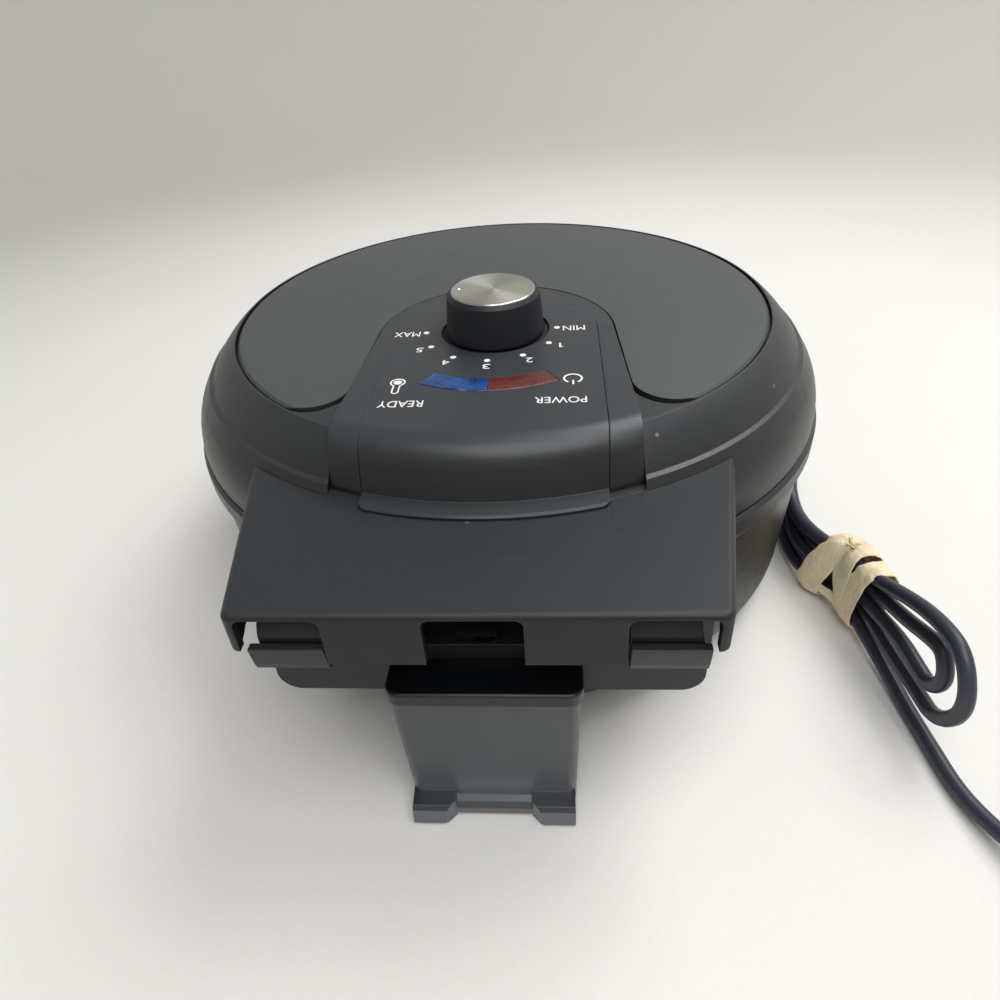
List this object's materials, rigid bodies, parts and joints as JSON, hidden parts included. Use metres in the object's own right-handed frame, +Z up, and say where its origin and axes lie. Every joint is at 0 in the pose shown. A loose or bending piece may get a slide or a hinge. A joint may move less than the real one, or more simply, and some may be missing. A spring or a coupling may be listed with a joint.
{
  "type": "belgian waffle maker",
  "caption": "Round waffle maker with a hinged lid, deep-pocket plates, temperature knob and lamps on the lid, rear standing leg and a tied power cord.",
  "frame": {"origin": "middle of the object's box on the table, under the centre of the round body, the cord left out", "axes": "+Z up, +Y to the hinge and the rear, -Y to the lid handle"},
  "size_m": [0.3221, 0.375, 0.1212],
  "materials": {
    "black_plastic": "fine satin texture",
    "panel_plastic": "satin",
    "knob_plastic": "semi-gloss",
    "nonstick_aluminium": "dark non-stick coating",
    "steel": "plain",
    "brushed_metal": "radially brushed",
    "blue_lens": "translucent",
    "red_lens": "translucent",
    "glass_tube": "clear",
    "rubber": "matt",
    "cord_rubber": "smooth navy black",
    "paper_tie": "creased paper band",
    "ceramic": "unglazed",
    "brass": "plain"
  },
  "bodies": {
    "base": {"base_shell": "black_plastic", "bottom_cover": "black_plastic", "base_screws": "steel", "rubber_feet": "rubber", "lower_waffle_plate": "nonstick_aluminium", "lower_heating_element": "steel", "lower_heat_shield": "steel", "thermal_fuse": "ceramic", "terminal_block": "ceramic", "hinge_bracket": "black_plastic", "hinge_pin_left": "steel", "hinge_pin_right": "steel", "standing_leg": "black_plastic", "wire_sleeve": "rubber", "strain_relief": "cord_rubber", "cord_lead": "cord_rubber", "cord_hank": "cord_rubber", "cord_tie": "paper_tie", "cord_tail": "cord_rubber", "power_plug": "cord_rubber", "plug_blades": "brass"},
    "lid": {"lid_shell": "black_plastic", "lid_panel": "panel_plastic", "pod_frame": "black_plastic", "control_panel": "panel_plastic", "ready_lens": "blue_lens", "power_lens": "red_lens", "lamp_tray": "black_plastic", "indicator_lamps": "glass_tube", "hinge_plate": "black_plastic", "wire_gland": "rubber", "lid_handle": "black_plastic", "upper_waffle_plate": "nonstick_aluminium", "upper_heating_element": "steel", "upper_heat_shield": "steel", "thermostat": "ceramic", "thermostat_strap": "steel", "knob_bezel": "knob_plastic"},
    "knob": {"knob_body": "knob_plastic", "knob_cap": "brushed_metal", "knob_shaft": "steel"}
  },
  "joints": [
    {"name": "lid_hinge", "type": "hinge", "parent": "base", "child": "lid", "pos_m": [0, 0.1382, 0.078], "axis": [-1, 0, 0], "range_deg": [0, 100]},
    {"name": "knob_turn", "type": "hinge", "parent": "lid", "child": "knob", "pos_m": [0, 0.0295, 0.11], "axis": [0, 0, 1], "range_deg": [0, 183]}
  ]
}
